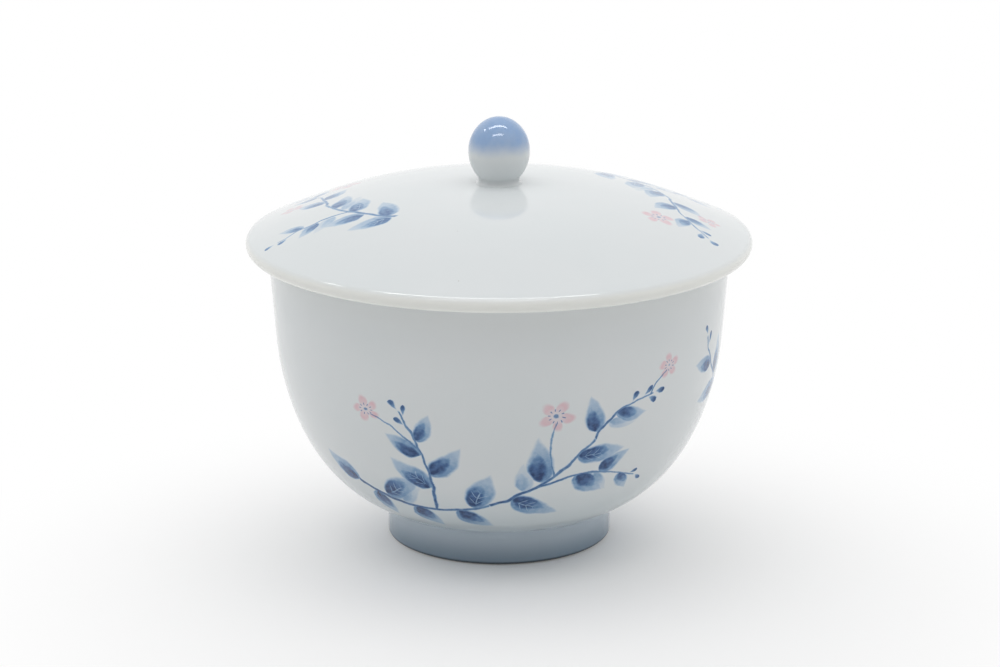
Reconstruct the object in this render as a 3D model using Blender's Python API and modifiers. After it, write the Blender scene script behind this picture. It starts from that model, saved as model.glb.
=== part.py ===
"""Porcelain rice bowl with a foot ring and a loose domed lid.

The bowl stands on the table at the origin with +Z up. Every piece is turned about the Z axis,
the way a potter throws it: the bowl, the ring luted under it, the lid, the locating flange
luted inside the lid, and the knob stuck on its crown. Lengths are in metres.
"""

from math import acos, atan2, cos, pi, radians, sin, sqrt, tan

import bpy
import numpy as np

# Gap left between two pieces that touch
GAP = 0.0003

# Foot ring
FOOT_RADIUS = 0.0251
FOOT_WALL = 0.0033
FOOT_HEIGHT = 0.0076
FOOT_ROUND = 0.0007

# Underside of the bowl: it rises outwards over the ring and is flat inside it
UNDERSIDE_SLOPE = radians(18.3)
FLAT_MARGIN = 0.0022

# Bowl
BOWL_HEIGHT = 0.0681
MOUTH_RADIUS = 0.05125
WALL_LEAN = radians(4.4)
BELLY_HEIGHT = 0.0461
BELLY_PULL_TOP = 0.0097
BELLY_PULL_FOOT = 0.0202
RIM_WALL = 0.0022
BASE_WALL = 0.0032
FLOOR_WALL = 0.0036
FLOOR_RADIUS = 0.0135

# Lid, measured from the seat that rests on the bowl's lip
LID_OVERHANG = 0.00475
CROWN_RISE = 0.01205
CROWN_PULL = 0.0310
EDGE_PULL = 0.0165
EDGE_SLOPE = radians(23.0)
EDGE_ROUND_TOP = 0.0017
EDGE_ROUND_BOTTOM = 0.0019
DRIP_DEPTH = 0.0027
DRIP_CLEARANCE = 0.0015
DRIP_ROUND = 0.0004
LID_WALL = 0.0033
COVE_ROUND = 0.0018

# Flange under the lid, which keeps it centred in the bowl's mouth
FLANGE_DEPTH = 0.0045
FLANGE_WALL = 0.0028
FLANGE_CLEARANCE = 0.0013
FLANGE_ROUND = 0.0009

# Egg-shaped knob on a short neck
KNOB_RADIUS = 0.0068
KNOB_TOP = 0.00765
KNOB_BELLY = 0.0078
NECK_RADIUS = 0.00455
NECK_HEIGHT = 0.0010

# Facets round the axis, and points along the curves
TURN_STEPS = 60
KNOB_STEPS = 36
CURVE_POINTS = 14
ROUND_POINTS = 4

# Linear colours of the glaze on each piece
WHITE_GLAZE = (0.80, 0.82, 0.82)
FOOT_WASH = (0.38, 0.45, 0.53)
KNOB_WASH = (0.48, 0.59, 0.80)
GLAZE_ROUGHNESS = 0.1


def bezier(start, start_handle, end_handle, end, count=CURVE_POINTS):
    """Return points on a cubic curve, both ends included."""
    t = np.linspace(0.0, 1.0, count)[:, None]
    a, b, c, d = (np.array(point) for point in (start, start_handle, end_handle, end))
    return a * (1 - t) ** 3 + 3 * b * t * (1 - t) ** 2 + 3 * c * t ** 2 * (1 - t) + d * t ** 3


def oval(centre, width, height, first, last, count=ROUND_POINTS):
    """Return points on an ellipse with those half axes, from one angle to another."""
    turn = np.linspace(first, last, count)
    return np.column_stack((centre[0] + width * np.cos(turn), centre[1] + height * np.sin(turn)))


def arc(centre, radius, first, last, count=ROUND_POINTS):
    """Return points on a circle, from one angle to another."""
    return oval(centre, radius, radius, first, last, count)


def fillet(before, corner, after, radius):
    """Return the arc that rounds the corner between two straight sides."""
    corner = np.array(corner)
    back = np.array(before) - corner
    ahead = np.array(after) - corner
    back /= np.linalg.norm(back)
    ahead /= np.linalg.norm(ahead)
    half_angle = acos(back @ ahead) / 2
    middle = back + ahead
    centre = corner + middle / np.linalg.norm(middle) * radius / sin(half_angle)
    start = corner + back * radius / tan(half_angle) - centre
    first = atan2(start[1], start[0])
    turning = np.sign(start[0] * back[1] - start[1] * back[0])
    return arc(centre, radius, first, first - turning * (pi - 2 * half_angle))


def inside_of(outside, first_wall, last_wall):
    """Return the inner line of a wall whose thickness changes along its outer line."""
    steps = np.linalg.norm(np.diff(outside, axis=0), axis=1)
    along = np.concatenate(([0.0], np.cumsum(steps)))
    wall = first_wall + (last_wall - first_wall) * along / along[-1]
    heading = np.gradient(outside, axis=0)
    heading /= np.linalg.norm(heading, axis=1)[:, None]
    inward = np.column_stack((heading[:, 1], -heading[:, 0]))
    return outside + inward * wall[:, None]


def height_on(line, radius):
    """Return the height at which a line that runs outwards passes a radius."""
    return float(np.interp(radius, line[:, 0], line[:, 1]))


def bowl_outside():
    """Return the bowl's outer line, from under the lip down to the foot joint."""
    half = RIM_WALL / 2
    wall_top = np.array((MOUTH_RADIUS - half + half * cos(WALL_LEAN),
                         BOWL_HEIGHT - half - half * sin(WALL_LEAN)))
    drop = wall_top[1] - BELLY_HEIGHT
    wall_foot = wall_top - drop * np.array((tan(WALL_LEAN), 1.0))
    joint = np.array((FOOT_RADIUS, FOOT_HEIGHT))
    belly = bezier(wall_foot,
                   wall_foot - BELLY_PULL_TOP * np.array((sin(WALL_LEAN), cos(WALL_LEAN))),
                   joint + BELLY_PULL_FOOT * np.array((cos(UNDERSIDE_SLOPE), sin(UNDERSIDE_SLOPE))),
                   joint)
    return np.vstack((wall_top, belly))


def bowl_inside():
    """Return the bowl's inner line, from under the lip down to above the foot joint."""
    return inside_of(bowl_outside(), RIM_WALL, BASE_WALL)


def mouth_radius_inside():
    """Return the bowl's inner radius at the depth that the lid's flange reaches."""
    inside = bowl_inside()[::-1]
    depth = seat_height() - GAP - FLANGE_DEPTH
    return float(np.interp(depth, inside[:, 1], inside[:, 0]))


def flat_underside():
    """Return the radius and height at which the bowl's underside turns flat."""
    radius = FOOT_RADIUS - FOOT_WALL - FLAT_MARGIN
    return radius, FOOT_HEIGHT - (FOOT_RADIUS - radius) * tan(UNDERSIDE_SLOPE)


def seat_height():
    """Return the height of the face by which the lid rests on the bowl's lip."""
    return BOWL_HEIGHT + GAP


def flange_radii():
    """Return the inner and outer radius of the lid's flange."""
    outer = mouth_radius_inside() - FLANGE_CLEARANCE
    return outer - FLANGE_WALL, outer


def bowl_profile():
    """Return the bowl's section, from the middle of its floor over the lip to its underside."""
    flat_radius, flat_height = flat_underside()
    floor_height = flat_height + FLOOR_WALL
    inside = bowl_inside()[::-1]
    floor_edge = np.array((FLOOR_RADIUS, floor_height))
    reach = np.linalg.norm(inside[0] - floor_edge) / 3
    floor = bezier(floor_edge,
                   floor_edge + np.array((reach, 0.0)),
                   inside[0] - reach * np.array((cos(UNDERSIDE_SLOPE), sin(UNDERSIDE_SLOPE))),
                   inside[0], ROUND_POINTS)
    half = RIM_WALL / 2
    lip_centre = (MOUTH_RADIUS - half, BOWL_HEIGHT - half)
    lip = arc(lip_centre, half, pi - WALL_LEAN, -WALL_LEAN, 2 * ROUND_POINTS)
    return np.vstack(((0.0, floor_height), floor, inside[1:-1], lip, bowl_outside()[1:],
                      (flat_radius, flat_height), (0.0, flat_height)))


def foot_ring_profile():
    """Return the ring's section: flat on the table, with a top that follows the bowl."""
    inner_radius = FOOT_RADIUS - FOOT_WALL
    top_outer = np.array((FOOT_RADIUS, FOOT_HEIGHT - GAP / cos(UNDERSIDE_SLOPE)))
    top_inner = top_outer - FOOT_WALL * np.array((1.0, tan(UNDERSIDE_SLOPE)))
    low_outer = (FOOT_RADIUS, 0.0)
    low_inner = (inner_radius, 0.0)
    return np.vstack((top_inner, top_outer,
                      fillet(top_outer, low_outer, low_inner, FOOT_ROUND),
                      fillet(low_outer, low_inner, top_inner, FOOT_ROUND),
                      top_inner))


def lid_dome():
    """Return the lid's upper line, from its crown out to the rounding of its edge."""
    edge_centre = np.array((MOUTH_RADIUS + LID_OVERHANG - EDGE_ROUND_TOP,
                            EDGE_ROUND_BOTTOM - DRIP_DEPTH))
    edge = edge_centre + EDGE_ROUND_TOP * np.array((sin(EDGE_SLOPE), cos(EDGE_SLOPE)))
    return bezier((0.0, CROWN_RISE), (CROWN_PULL, CROWN_RISE),
                  edge + EDGE_PULL * np.array((-cos(EDGE_SLOPE), sin(EDGE_SLOPE))), edge)


def lid_profile():
    """Return the lid's section, from its crown over the edge and the seat to its hollow."""
    dome = lid_dome()
    lid_radius = MOUTH_RADIUS + LID_OVERHANG
    edge_height = EDGE_ROUND_BOTTOM - DRIP_DEPTH
    edge_top = arc((lid_radius - EDGE_ROUND_TOP, edge_height), EDGE_ROUND_TOP,
                   pi / 2 - EDGE_SLOPE, 0.0)
    edge_bottom = arc((lid_radius - EDGE_ROUND_BOTTOM, edge_height), EDGE_ROUND_BOTTOM, 0.0, -pi / 2)

    drip_radius = MOUTH_RADIUS + DRIP_CLEARANCE
    drip_corner = (drip_radius, -DRIP_DEPTH)
    seat_outer = (drip_radius, 0.0)
    drip = fillet((lid_radius, -DRIP_DEPTH), drip_corner, seat_outer, DRIP_ROUND)

    hollow_radius = flange_radii()[0]
    seat_inner = (hollow_radius, 0.0)
    seat_cove = fillet(drip_corner, seat_outer, seat_inner, DRIP_ROUND)
    hollow = dome - np.array((0.0, LID_WALL))
    hollow_corner = (hollow_radius, height_on(hollow, hollow_radius))
    roof_radius = hollow_radius - COVE_ROUND
    cove = fillet(seat_inner, hollow_corner, (roof_radius, height_on(hollow, roof_radius)), COVE_ROUND)
    roof = hollow[hollow[:, 0] < cove[-1, 0]][::-1]
    return np.vstack((dome, edge_top[1:], edge_bottom[1:], drip, seat_cove, seat_inner, cove, roof))


def flange_profile():
    """Return the flange's section, hanging below its top."""
    inner, outer = flange_radii()
    low_outer = (outer, -FLANGE_DEPTH)
    low_inner = (inner, -FLANGE_DEPTH)
    return np.vstack(((inner, 0.0), (outer, 0.0),
                      fillet((outer, 0.0), low_outer, low_inner, FLANGE_ROUND),
                      fillet(low_outer, low_inner, (inner, 0.0), FLANGE_ROUND),
                      (inner, 0.0)))


def knob_profile():
    """Return the knob's section, from its top down its egg to the foot of its neck."""
    cut = acos(NECK_RADIUS / KNOB_RADIUS)
    centre = (0.0, NECK_HEIGHT + KNOB_BELLY * sqrt(1 - (NECK_RADIUS / KNOB_RADIUS) ** 2))
    top = oval(centre, KNOB_RADIUS, KNOB_TOP, pi / 2, 0.0, 2 * ROUND_POINTS)
    belly = oval(centre, KNOB_RADIUS, KNOB_BELLY, 0.0, -cut, ROUND_POINTS + 1)
    top[0, 0] = 0.0
    return np.vstack((top, belly[1:], (NECK_RADIUS, 0.0), (0.0, 0.0)))


def glaze(name, colour):
    """Return a glossy glaze of that colour."""
    material = bpy.data.materials.new(name)
    material.use_nodes = True
    shader = material.node_tree.nodes["Principled BSDF"]
    shader.inputs["Base Color"].default_value = (*colour, 1.0)
    shader.inputs["Roughness"].default_value = GLAZE_ROUGHNESS
    shader.inputs["Metallic"].default_value = 0.0
    return material


def turned(name, profile, colour, height, carrier=None, steps=TURN_STEPS):
    """Turn a section about the Z axis and set it at a height on what carries it."""
    mesh = bpy.data.meshes.new(name)
    points = [(radius, 0.0, level) for radius, level in profile]
    closed = np.allclose(profile[0], profile[-1])
    if closed:
        points.pop()
    edges = [(index, index + 1) for index in range(len(points) - 1)]
    if closed:
        edges.append((len(points) - 1, 0))
    mesh.from_pydata(points, edges, [])
    mesh.materials.append(glaze(name + "_glaze", colour))

    piece = bpy.data.objects.new(name, mesh)
    piece.location = (0.0, 0.0, height)
    piece.parent = carrier
    collection.objects.link(piece)

    screw = piece.modifiers.new("turn", "SCREW")
    screw.axis = "Z"
    screw.angle = 2 * pi
    screw.steps = steps
    screw.render_steps = steps
    screw.use_merge_vertices = True
    screw.merge_threshold = 0.00001
    screw.use_smooth_shade = True
    return piece


for leftover in list(bpy.data.objects):
    bpy.data.objects.remove(leftover)

collection = bpy.data.collections.new("lidded_rice_bowl")
bpy.context.scene.collection.children.link(collection)

turned("bowl", bowl_profile(), WHITE_GLAZE, 0.0)
turned("foot_ring", foot_ring_profile(), FOOT_WASH, 0.0)

# The lid lifts off along this axis, taking its flange and knob with it
lid_axis = bpy.data.objects.new("lid_axis", None)
lid_axis.location = (0.0, 0.0, seat_height())
collection.objects.link(lid_axis)
turned("lid", lid_profile(), WHITE_GLAZE, 0.0, lid_axis)
turned("lid_flange", flange_profile(), WHITE_GLAZE, -GAP, lid_axis)
turned("knob", knob_profile(), KNOB_WASH, CROWN_RISE + GAP, lid_axis, KNOB_STEPS)
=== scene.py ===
"""Porcelain rice bowl with a domed lid: glazed pieces, brushed sprays, pale studio and camera."""

import math

import bmesh
import bpy
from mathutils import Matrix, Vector
from mathutils.geometry import interpolate_bezier


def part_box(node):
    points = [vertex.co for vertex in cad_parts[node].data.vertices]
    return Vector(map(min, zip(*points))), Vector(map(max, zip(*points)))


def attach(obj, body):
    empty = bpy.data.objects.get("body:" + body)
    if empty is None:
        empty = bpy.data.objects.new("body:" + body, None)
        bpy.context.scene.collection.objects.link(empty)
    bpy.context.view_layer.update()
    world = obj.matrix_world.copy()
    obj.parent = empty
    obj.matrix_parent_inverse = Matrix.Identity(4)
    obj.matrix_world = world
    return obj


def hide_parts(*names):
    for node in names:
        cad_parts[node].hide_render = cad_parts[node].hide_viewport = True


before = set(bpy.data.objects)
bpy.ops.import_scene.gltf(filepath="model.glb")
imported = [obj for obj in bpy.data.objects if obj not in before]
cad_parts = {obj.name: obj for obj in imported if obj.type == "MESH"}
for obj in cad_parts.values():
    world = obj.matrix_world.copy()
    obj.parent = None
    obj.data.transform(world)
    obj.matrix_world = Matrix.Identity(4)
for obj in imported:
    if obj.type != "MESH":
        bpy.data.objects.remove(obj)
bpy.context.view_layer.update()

# Sizes that the frame gives, in metres
bowl_low, bowl_high = (Vector(corner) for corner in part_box("bowl"))
foot_low, foot_high = (Vector(corner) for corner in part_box("foot_ring"))
lid_low, lid_high = (Vector(corner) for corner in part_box("lid"))
flange_low, flange_high = (Vector(corner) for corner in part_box("lid_flange"))
knob_low, knob_high = (Vector(corner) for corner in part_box("knob"))

# Curves of the sections, which boxes can't give, in metres and radians
JOINT_GAP = 0.0003
UNDERSIDE_SLOPE = math.radians(18.3)
FOOT_WALL = 0.0033
FOOT_ROUND = 0.0007
FOOT_COVE = 0.0030
RECESS_COVE = 0.0009
WALL_LEAN = math.radians(4.4)
BELLY_HEIGHT = 0.0461
BELLY_PULL_TOP = 0.0097
BELLY_PULL_FOOT = 0.0202
RIM_WALL = 0.0022
BASE_WALL = 0.0032
FLOOR_WALL = 0.0036
FLOOR_RADIUS = 0.0135
CROWN_PULL = 0.0310
EDGE_PULL = 0.0165
EDGE_SLOPE = math.radians(23.0)
EDGE_ROUND_TOP = 0.0017
EDGE_ROUND_BOTTOM = 0.0019
LIP_CLEARANCE = 0.0015
LIP_ROUND = 0.0004
LID_WALL = 0.0033
FLANGE_WALL = 0.0028
FLANGE_ROUND = 0.0009
HOLLOW_COVE = 0.0018
KNOB_TOP = 0.00765
NECK_RADIUS = 0.00455
NECK_HEIGHT = 0.0010
NECK_COVE = 0.0007
NECK_SINK = 0.00005

# Mesh fineness, and the distance in metres within which a turned piece's points are merged
TURN_STEPS = 192
CURVE_POINTS = 56
ROUND_POINTS = 10
MERGE_DISTANCE = 0.000001

# Runs along the painted outside are positive, in metres, and this marks every other surface
UNPAINTED = -0.002
MM = 0.001

# Bowl's canvas: the radius that it is unrolled at, and the share of the wall's flare that it follows
CANVAS_RADIUS = 0.042
CANVAS_FLARE = 0.3

# Linear colours of the glaze and the washes, and what the brushed ink leaves of the glaze's colour
PORCELAIN = (0.745, 0.775, 0.785)
# The warm edge colour is a real warm tone, made lighter than the porcelain as painted light on the lid's
# rim
WARM_EDGE_AND_PAINTED_LIGHT = (0.88, 0.89, 0.85)
POOLED_GLAZE = (0.66, 0.735, 0.745)
# Painted light: a lighter glaze colour for the bowl's upper wall, where the lid casts its shadow
UNDER_LID_PAINTED_LIGHT = (0.81, 0.84, 0.84)
BARE_CLAY = (0.50, 0.48, 0.44)
SPECK_COLOUR = (0.20, 0.17, 0.14)
# The belly's and the foot's colours hold painted shade as well as the blue wash: greyer on the lower
# belly, darker down the foot towards the floor
BELLY_WASH_AND_SHADE = (0.635, 0.695, 0.715)
FOOT_WASH = (0.58, 0.665, 0.74)
FOOT_WASH_AND_SHADE = (0.27, 0.36, 0.455)
# Painted shadow: a dark line along the foot's bottom edge, where it meets the floor
FOOT_CONTACT_SHADOW = (0.09, 0.11, 0.13)
KNOB_WASH = (0.27, 0.415, 0.665)
INK_STEPS = ((0.0, (1.0, 1.0, 1.0)), (0.22, (0.58, 0.72, 0.89)), (0.46, (0.22, 0.40, 0.66)),
             (0.70, (0.07, 0.18, 0.42)), (0.95, (0.006, 0.05, 0.19)))
BLUSH = (1.0, 0.62, 0.68)
BOWL_INK = 1.0
LID_INK = 0.74

# Leaves, buds and stems: shares of a stroke's length along it and of its half width across it
LEAF_BLUNTNESS = 0.55
LEAF_FULLNESS = 2.74
LEAF_EDGE = (-0.02, 0.30)
LEAF_THINS = (0.2, 1.0)
LEAF_WASH = (0.50, 0.20)
LEAF_BEND = 0.25
CORE_LENGTH = 0.82
CORE_FULLNESS = 2.877
CORE_OFFSET = 0.20
CORE_EDGE = (0.0, 0.66)
CORE_LEVELS = (1.0, 0.42)
STREAKS_ACROSS = 10.0
STREAKS_ALONG = 4.0
STREAK_DEPTH = 0.05
RIB_EDGE = (0.015, 0.06)
VEIN_SLANT = 0.26
VEIN_SPACING = 0.075
VEIN_EDGE = (0.003, 0.014)
VEIN_REACH = (0.40, 0.60)
VEINS_BEGIN = (0.10, 0.18)
VEINS_END = (0.40, 0.56)
BUD_FINENESS = 1.15
BUD_FULLNESS = 2.35
BUD_EDGE = (0.0, 0.45)
BUD_DEEPENS = (0.1, 0.9)
BUD_LEVELS = (0.45, 1.0)
STEM_EDGE = (0.35, 1.3)
STEM_BEGINS = (-0.012, 0.012)
STEM_ENDS = (0.985, 1.012)
STEM_LEVELS = (1.0, 0.72)

# Gaps between a stem and the strokes that spring from it, in millimetres, and their density of ink
LEAF_GAP = 0.4
BUD_GAP = 0.3
BUD_INK = 0.9
BLOSSOM_INK = 0.9

# A bowed line leaves the straight one by its bend x share x (1 - share): a quarter of the bend at most
BEND_PER_BOW = 4

# Blossoms: shares of a blossom's size from its centre, and how many petals and stamens it has
PETALS = 5
PETAL_ROUNDNESS = 0.55
PETAL_LENGTH = 0.62
PETAL_NOTCH = 0.36
PETAL_EDGE = (0.0, 0.30)
PETAL_FLUSH = (0.05, 0.75)
PETAL_LEVELS = (0.35, 1.0)
STAMENS = 10
STAMEN_WIDTH = (0.55, 1.0)
STAMEN_BEGINS = (0.24, 0.30)
STAMEN_ENDS = (0.36, 0.44)
EYE_EDGE = (0.07, 0.15)
EYE_INK = 0.8
STAMEN_INK = 0.7

# Noises: scale, per millimetre on the canvas and per metre on the surface, and detail
SLOW_WANDER = (0.22, 1.0)
FINE_WANDER = (1.6, 2.0)
PIGMENT = (0.9, 3.0)
WAVES = (55.0, 1.0)
RIPPLES = (900.0, 1.0)
CLOUDS = (38.0, 3.0)
GLOSS = (140.0, 2.0)
WASH_EDGE = (160.0, 2.0)
KNOB_EDGE = (180.0, 2.0)
MOTTLE = (420.0, 3.0)
NOISE_BAND = (0.3, 0.7)
WIDE_NOISE_BAND = (0.25, 0.75)
NOISE_MIDDLE = (0.5, 0.5, 0.5)

# Hand's wander: how far lines waver, in millimetres, and how dense the pigment lies
SLOW_WANDER_SIZE = 1.5
FINE_WANDER_SIZE = 0.24
PIGMENT_LEVELS = (0.78, 1.06)

# Glaze: its gloss, its waves in metres, and its specks in cells per metre and shares of a cell
GLAZE_IOR = 1.52
GLOSS_LEVELS = (0.035, 0.060)
BARE_ROUGHNESS = 0.5
WAVE_HEIGHT = 0.0003
WALL_WAVINESS = 0.25
KNOB_WAVINESS = 0.015
RIPPLE_SHARE = 0.012
SPECK_SCALE = 120.0
SPECK_RARITY = 0.93
SPECK_EDGE = (0.008, 0.020)

# Strengths of the glaze's marks and washes
SPECK_STRENGTH = 0.55
CLOUD_STRENGTH = 0.18
LIP_STRENGTH = 0.8
POOL_STRENGTH = 0.6
# Strength of the painted contact shadow at the foot's bottom edge
CONTACT_SHADOW_STRENGTH = 0.9
MOTTLE_LEVELS = (0.86, 1.0)

# Where the bowl's finish changes, in metres: heights, drops from the lip or from the lid's lower edge,
# and runs up the outside, which waver
LIP_BAND = (0.0012, 0.0002)
# Painted light under the lid reaches this far down from the lid's lower edge
UNDER_LID_LIGHT_REACH = (0.0095, 0.0010)
POOL_BAND = (0.010, 0.022)
POOL_BOTTOM = 0.009
# The wash and its painted shade fade out up the belly over these runs
WASH_AND_SHADE_FADE = (0.014, 0.031)
WASH_WAVER = 0.004
# The foot darkens towards the floor below this height: painted shade over the blue wash
FOOT_WASH_SHADE_HEIGHT = 0.0070
# Painted contact shadow along the foot's bottom edge, between these heights
CONTACT_SHADOW_BAND = (0.00040, 0.00085)
STAND_BAND = (0.00004, 0.00014)

# Where the lid's and the knob's finishes change, in metres: in from the edge, and up from the widest
# line or from the flange's end
# The warm edge reaches in from the lid's edge and up from its widest line: painted light on the rim's
# lower half
WARM_LIT_REACH = (0.0040, 0.0010)
WARM_LIT_RISE = 0.0002
FLANGE_BAND = (0.0003, 0.0010)
KNOB_BAND = (0.0003, 0.0044)
KNOB_WAVER = 0.0022

# Photograph's view, in metres, radians and millimetres of lens
VIEW_TARGET = Vector((0.0002, 0.0, 0.04575))
VIEW_DISTANCE = 0.715
VIEW_ELEVATION = math.radians(16.02)
VIEW_LENS = 115.2
SENSOR_WIDTH = 36.0
CLIP_START = 0.01

# Studio: brightness of the surround in front, at the sides and behind, low and high, and overhead
LOW_LEVELS = (0.0, 0.46, 0.72)
HIGH_LEVELS = (0.18, 1.02, 0.46)
TOP_LEVEL = 1.76
TOP_TILT = math.radians(12)
LOW_TO_HIGH = (0.25, 0.55)
HIGH_TO_TOP = (0.70, 0.92)
FRONT_TO_SIDE = (-0.9, -0.35)
SIDE_TO_BACK = (0.2, 0.8)

# Lamps that show in the gloss: place in metres, length and depth in metres, and power in watts
LAMPS = {"overhead_strip": ((-0.035, 0.03, 0.66), (0.60, 0.085), 1.45),
         "front_strip": ((-0.045, -0.32, 0.605), (0.44, 0.06), 0.72),
         "side_window": ((-0.41, 0.12, 0.52), (0.05, 0.10), 0.12)}

# Floor: it whitens with the distance from a place before the foot, in metres
FLOOR_COLOUR = (0.88, 0.88, 0.88)
SHADE_CENTRE = (0.007, -0.045, 0.0)
SHADE_REACH = (0.004, 0.142)
FLOOR_REACH = 4.0
FLOOR_DROP = 0.00005
PAPER_ROUGHNESS = 0.8


def point(radius, height):
    """Return a section point: radius and height."""
    return Vector((radius, height))


def leaning(angle):
    """Return the direction at an angle above the horizontal of a section or a canvas."""
    return Vector((math.cos(angle), math.sin(angle)))


def sweep(start, start_handle, end_handle, end, count=CURVE_POINTS):
    """Return points on a cubic curve, both ends included."""
    return interpolate_bezier(start, start_handle, end_handle, end, count)


def oval(centre, width, height, first, last, count=ROUND_POINTS):
    """Return points on an ellipse from one angle to another."""
    turns = [first + (last - first) * step / (count - 1) for step in range(count)]
    return [centre + Vector((width * math.cos(turn), height * math.sin(turn))) for turn in turns]


def rounded(before, corner, after, radius):
    """Return the arc that rounds the corner between two straight sides."""
    back = (before - corner).normalized()
    ahead = (after - corner).normalized()
    half_angle = back.angle(ahead) / 2
    centre = corner + (back + ahead).normalized() * (radius / math.sin(half_angle))
    start = corner + back * (radius / math.tan(half_angle)) - centre
    first = math.atan2(start.y, start.x)
    turning = math.copysign(math.pi - 2 * half_angle, start.cross(back))
    return oval(centre, radius, radius, first, first - turning)


def straight(start, end, count):
    """Return evenly spaced points on a line, both ends included."""
    return [start.lerp(end, step / (count - 1)) for step in range(count)]


def distances(points):
    """Return how far along the line each point lies."""
    run = [0.0]
    for before, after in zip(points, points[1:]):
        run.append(run[-1] + (after - before).length)
    return run


def inside_of(outside, first_wall, last_wall):
    """Return the inner line of a wall whose thickness changes along its outer line."""
    run = distances(outside)
    inner = []
    for index, place in enumerate(outside):
        before = outside[max(index - 1, 0)]
        after = outside[min(index + 1, len(outside) - 1)]
        heading = (after - before).normalized()
        wall = first_wall + (last_wall - first_wall) * run[index] / run[-1]
        inner.append(place + Vector((heading.y, -heading.x)) * wall)
    return inner


def height_on(line, radius):
    """Return the height at which a line that runs outwards passes a radius."""
    for inner, outer in zip(line, line[1:]):
        if inner.x <= radius <= outer.x:
            return inner.lerp(outer, (radius - inner.x) / (outer.x - inner.x)).y
    raise ValueError("the line doesn't reach that radius")


def bowl_section():
    """Return the glazed bowl's section and its run up the painted outside."""
    slope = leaning(UNDERSIDE_SLOPE)
    half = RIM_WALL / 2
    lip_centre = point(bowl_high.x - half, bowl_high.z - half)
    wall_top = lip_centre + half * leaning(-WALL_LEAN)
    wall_way = Vector((math.sin(WALL_LEAN), math.cos(WALL_LEAN)))
    wall_foot = wall_top - wall_way * (wall_top.y - BELLY_HEIGHT) / math.cos(WALL_LEAN)
    joint = point(foot_high.x, foot_high.z + JOINT_GAP / math.cos(UNDERSIDE_SLOPE))
    outside = straight(wall_top, wall_foot, ROUND_POINTS)
    outside += sweep(wall_foot, wall_foot - BELLY_PULL_TOP * wall_way,
                     joint + BELLY_PULL_FOOT * slope, joint)[1:]

    inside = inside_of(outside, RIM_WALL, BASE_WALL)[::-1]
    floor_edge = point(FLOOR_RADIUS, bowl_low.z + FLOOR_WALL)
    reach = (inside[0] - floor_edge).length / 3
    floor = sweep(floor_edge, floor_edge + point(reach, 0), inside[0] - reach * slope, inside[0],
                  ROUND_POINTS)
    lip = oval(lip_centre, half, half, math.pi - WALL_LEAN, -WALL_LEAN, 2 * ROUND_POINTS)
    within = [point(0, floor_edge.y)] + floor + inside[1:-1] + lip[:-1]

    foot_inner = foot_high.x - FOOT_WALL
    low_outer = point(foot_high.x, foot_low.z)
    low_inner = point(foot_inner, foot_low.z)
    recess = point(foot_inner, bowl_low.z)
    joint_cove = rounded(joint + slope, joint, low_outer, FOOT_COVE)
    foot = rounded(joint, low_outer, low_inner, FOOT_ROUND)
    foot += rounded(low_outer, low_inner, recess, FOOT_ROUND)
    foot += rounded(low_inner, recess, point(0, bowl_low.z), RECESS_COVE)
    foot.append(point(0, bowl_low.z))

    painted = [place for place in outside if place.x > joint_cove[0].x] + joint_cove
    top_run = distances(painted)
    run = [UNPAINTED] * len(within) + [top_run[-1] - done for done in top_run]
    run += [UNPAINTED] * len(foot)
    return within + painted + foot, run


def lid_section():
    """Return the glazed lid's section with its flange, and its run out over the painted dome."""
    seat = flange_high.z + JOINT_GAP
    widest = lid_low.z + EDGE_ROUND_BOTTOM
    upper_round = point(lid_high.x - EDGE_ROUND_TOP, widest)
    lower_round = point(lid_high.x - EDGE_ROUND_BOTTOM, widest)
    edge = upper_round + EDGE_ROUND_TOP * leaning(math.pi / 2 - EDGE_SLOPE)
    crown = point(0, lid_high.z)
    dome = sweep(crown, crown + point(CROWN_PULL, 0),
                 edge + EDGE_PULL * leaning(math.pi - EDGE_SLOPE), edge)
    rim = oval(upper_round, EDGE_ROUND_TOP, EDGE_ROUND_TOP, math.pi / 2 - EDGE_SLOPE, 0)[1:]
    rim += oval(lower_round, EDGE_ROUND_BOTTOM, EDGE_ROUND_BOTTOM, 0, -math.pi / 2)[1:]

    lip_low = point(bowl_high.x + LIP_CLEARANCE, lid_low.z)
    lip_top = point(lip_low.x, seat)
    flange_top = point(flange_high.x, seat)
    flange_outer = point(flange_high.x, flange_low.z)
    flange_inner = point(flange_high.x - FLANGE_WALL, flange_low.z)
    hollow = [place - point(0, LID_WALL) for place in dome]
    cove_corner = point(flange_inner.x, height_on(hollow, flange_inner.x))
    roof_edge = point(flange_inner.x - HOLLOW_COVE, height_on(hollow, flange_inner.x - HOLLOW_COVE))
    under = rounded(point(lid_high.x, lid_low.z), lip_low, lip_top, LIP_ROUND)
    under += rounded(lip_low, lip_top, flange_top, LIP_ROUND)
    under += rounded(lip_top, flange_top, flange_outer, LIP_ROUND)
    under += rounded(flange_top, flange_outer, flange_inner, FLANGE_ROUND)
    under += rounded(flange_outer, flange_inner, cove_corner, FLANGE_ROUND)
    cove = rounded(flange_inner, cove_corner, roof_edge, HOLLOW_COVE)
    under += cove + [place for place in reversed(hollow) if place.x < cove[-1].x]

    painted = dome + rim
    return painted + under, distances(painted) + [UNPAINTED] * len(under)


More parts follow.
